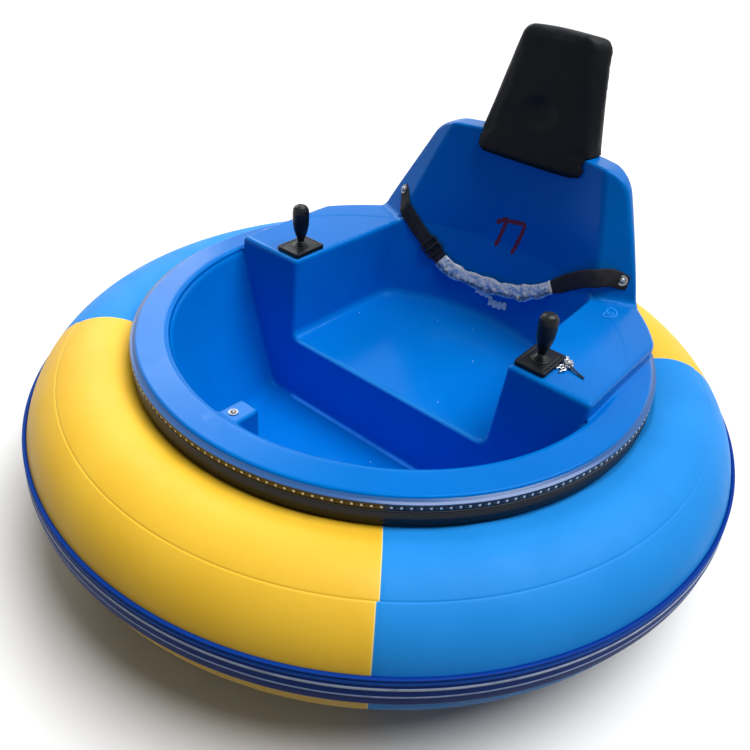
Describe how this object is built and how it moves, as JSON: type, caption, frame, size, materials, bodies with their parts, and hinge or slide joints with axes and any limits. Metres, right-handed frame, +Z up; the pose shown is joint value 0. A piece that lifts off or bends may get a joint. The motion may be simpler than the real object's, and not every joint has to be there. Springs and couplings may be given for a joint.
{
  "type": "inflatable bumper car",
  "caption": "Round battery bumper car: inflated ring round a moulded open cockpit with bench seat, armrest joysticks, headrest and lap belt, on drive wheels and swivel casters.",
  "frame": {"origin": "on the ground under the centre of the round body", "axes": "+Z up; the rider faces -Y; +X is the rider's left"},
  "size_m": [1.9, 1.9002, 1.1697],
  "materials": {
    "shell_blue": "polished blue gelcoat on glass fibre",
    "ring_yellow": "yellow coated PVC fabric, satin",
    "ring_blue": "blue coated PVC fabric, satin",
    "band_blue": "dark blue PVC band with white stripes",
    "black_rubber": "extruded black rubber",
    "led_channel": "black extruded channel",
    "led_strip": "clear encapsulated LED strip",
    "black_vinyl": "black vinyl over foam",
    "board_black": "black board",
    "black_plastic": "injection-moulded black plastic",
    "black_steel": "black powder coat",
    "bright_steel": "nickel plate",
    "zinc_steel": "zinc-plated steel",
    "webbing": "black woven webbing",
    "film": "crinkled clear film over the buckle",
    "frame_grey": "dark grey paint",
    "motor_grey": "grey painted motor case",
    "battery_case": "black moulded battery case",
    "hub_alloy": "cast alloy",
    "tyre_rubber": "solid rubber",
    "caster_tread": "grey polyurethane"
  },
  "bodies": {
    "root": {"body_shell": "shell_blue", "boss_bolt": "bright_steel", "ring_front": "ring_yellow", "ring_right": "ring_blue", "ring_rear": "ring_yellow", "ring_left": "ring_blue", "fender_band": "band_blue", "rim_gasket": "black_rubber", "led_channel": "led_channel", "led_strip": "led_strip", "headrest_pad": "black_vinyl", "headrest_board": "board_black", "joystick_base_right": "black_steel", "joystick_base_left": "black_steel", "joystick_handle_right": "black_plastic", "joystick_handle_left": "black_plastic", "key_switch": "bright_steel", "key_ring": "bright_steel", "belt_strap_right": "webbing", "belt_strap_left": "webbing", "belt_adjuster": "black_plastic", "belt_buckle": "film", "belt_anchor_right": "bright_steel", "belt_anchor_left": "bright_steel", "chassis_frame": "frame_grey", "chassis_hoop": "frame_grey", "wheel_bracket_right": "frame_grey", "wheel_bracket_left": "frame_grey", "drive_motor_right": "motor_grey", "drive_motor_left": "motor_grey", "battery_right": "battery_case", "battery_left": "battery_case", "caster_plate_front": "zinc_steel", "caster_plate_rear": "zinc_steel"},
    "drive_right": {"drive_tyre_right": "tyre_rubber", "drive_hub_right": "hub_alloy", "drive_axle_right": "zinc_steel"},
    "drive_left": {"drive_tyre_left": "tyre_rubber", "drive_hub_left": "hub_alloy", "drive_axle_left": "zinc_steel"},
    "front_swivel": {"caster_fork_front": "zinc_steel"},
    "front_roll": {"caster_wheel_front": "caster_tread"},
    "rear_swivel": {"caster_fork_rear": "zinc_steel"},
    "rear_roll": {"caster_wheel_rear": "caster_tread"}
  },
  "joints": [
    {"name": "drive_right_spin", "type": "hinge", "parent": "root", "child": "drive_right", "pos_m": [-0.33, 0.065, 0.086], "axis": [1, 0, 0], "continuous": true},
    {"name": "drive_left_spin", "type": "hinge", "parent": "root", "child": "drive_left", "pos_m": [0.33, 0.065, 0.086], "axis": [1, 0, 0], "continuous": true},
    {"name": "front_caster_swivel", "type": "hinge", "parent": "root", "child": "front_swivel", "pos_m": [0, -0.33, 0.06], "axis": [0, 0, 1], "continuous": true},
    {"name": "front_caster_spin", "type": "hinge", "parent": "front_swivel", "child": "front_roll", "pos_m": [0, -0.304, 0.03], "axis": [1, 0, 0], "continuous": true},
    {"name": "rear_caster_swivel", "type": "hinge", "parent": "root", "child": "rear_swivel", "pos_m": [0, 0.43, 0.06], "axis": [0, 0, 1], "continuous": true},
    {"name": "rear_caster_spin", "type": "hinge", "parent": "rear_swivel", "child": "rear_roll", "pos_m": [0, 0.456, 0.03], "axis": [1, 0, 0], "continuous": true}
  ]
}
